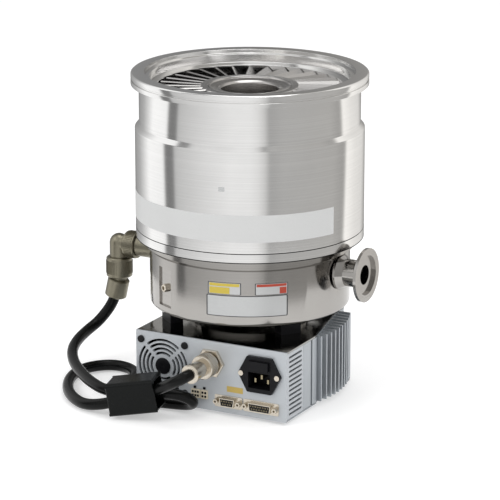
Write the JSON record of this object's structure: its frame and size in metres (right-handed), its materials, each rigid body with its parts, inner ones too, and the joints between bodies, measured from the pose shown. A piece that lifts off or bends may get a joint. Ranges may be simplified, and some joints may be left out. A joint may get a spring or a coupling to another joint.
{
  "type": "turbomolecular pump",
  "caption": "Turbomolecular vacuum pump with flanged inlet, side exhaust port, fan-cooled control unit and looped motor lead.",
  "frame": {"origin": "centre of the inlet flange top face", "axes": "+Z out of the inlet along the rotor axis, -Y towards the connector panel, +X along the exhaust port"},
  "size_m": [0.3161, 0.3, 0.3263],
  "materials": {
    "turned_steel": "turned stainless steel",
    "base_metal": "machined nickel-plated base",
    "rotor_alloy": "machined aluminium alloy",
    "shaft_steel": "ground steel",
    "copper_core": "laminated core and copper winding",
    "panel_grey": "light grey fine-texture coat",
    "sheet_steel": "bright sheet",
    "sink_alloy": "clear anodised extrusion",
    "black_rubber": "moulded rubber",
    "black_plastic": "moulded plastic",
    "screw_black": "black oxide",
    "nickel": "satin nickel plate",
    "bronze_plate": "olive conductive plate",
    "ivory_plastic": "natural nylon",
    "pin_metal": "plated contacts",
    "board_green": "solder mask",
    "component": "moulded parts",
    "fuse_glass": "glass tube",
    "cable_jacket": "satin cable jacket",
    "ferrite": "moulded ferrite case"
  },
  "bodies": {
    "pump": {"base_housing": "base_metal", "board_components": "component", "board_standoffs": "nickel", "bottom_cap": "base_metal", "cable_clamp": "bronze_plate", "chassis_tray": "panel_grey", "circuit_board": "board_green", "clamp_ring": "turned_steel", "drag_stator": "rotor_alloy", "dsub_15": "nickel", "dsub_9": "nickel", "elbow_backshell": "bronze_plate", "elbow_body": "bronze_plate", "elbow_receptacle": "bronze_plate", "fan_frame": "black_plastic", "fan_screws": "screw_black", "ferrite_block": "ferrite", "foreline_port": "base_metal", "front_panel": "panel_grey", "header_4": "ivory_plastic", "header_6": "ivory_plastic", "header_latches": "black_plastic", "heat_sink": "sink_alloy", "inlet_envelope": "turned_steel", "inlet_screws": "nickel", "jack_screws": "nickel", "lower_balls": "shaft_steel", "lower_outer_race": "shaft_steel", "mains_inlet": "black_plastic", "mains_pins": "pin_metal", "motor_cable": "cable_jacket", "motor_housing": "base_metal", "motor_receptacle": "nickel", "motor_stator": "copper_core", "panel_nut": "nickel", "plug_body": "nickel", "plug_gland": "nickel", "purge_plug": "nickel", "side_panel": "panel_grey", "spacer_ring_1": "rotor_alloy", "spacer_ring_2": "rotor_alloy", "spacer_ring_3": "rotor_alloy", "stator_disc_1": "rotor_alloy", "stator_disc_2": "rotor_alloy", "support_spacers": "black_plastic", "top_cover": "sheet_steel", "unit_feet": "black_rubber", "upper_balls": "shaft_steel", "upper_outer_race": "shaft_steel"},
    "rotor": {"turbo_rotor": "rotor_alloy", "rotor_shaft": "shaft_steel", "rotor_nut": "shaft_steel", "motor_magnet": "shaft_steel", "upper_inner_race": "shaft_steel", "lower_inner_race": "shaft_steel"},
    "fan": {"fan_impeller": "black_plastic"},
    "drawer": {"fuse_drawer": "black_plastic", "fuses": "fuse_glass"},
    "plug_ring": {"plug_coupling_ring": "nickel"},
    "elbow_ring": {"elbow_coupling_ring": "bronze_plate"}
  },
  "joints": [
    {"name": "rotor_spin", "type": "hinge", "parent": "pump", "child": "rotor", "pos_m": [0, 0, -0.11], "axis": [0, 0, 1], "continuous": true},
    {"name": "fan_spin", "type": "hinge", "parent": "pump", "child": "fan", "pos_m": [-0.0387, -0.1029, -0.285], "axis": [0, 1, 0], "continuous": true},
    {"name": "fuse_drawer_slide", "type": "slide", "parent": "pump", "child": "drawer", "axis": [0, -1, 0], "range_m": [0, 0.018]},
    {"name": "plug_ring_turn", "type": "hinge", "parent": "pump", "child": "plug_ring", "pos_m": [0.016, -0.125, -0.2733], "axis": [0, 1, 0], "range_deg": [0, 120]},
    {"name": "elbow_ring_turn", "type": "hinge", "parent": "pump", "child": "elbow_ring", "pos_m": [-0.138, 0, -0.1993], "axis": [1, 0, 0], "range_deg": [0, 120]}
  ]
}
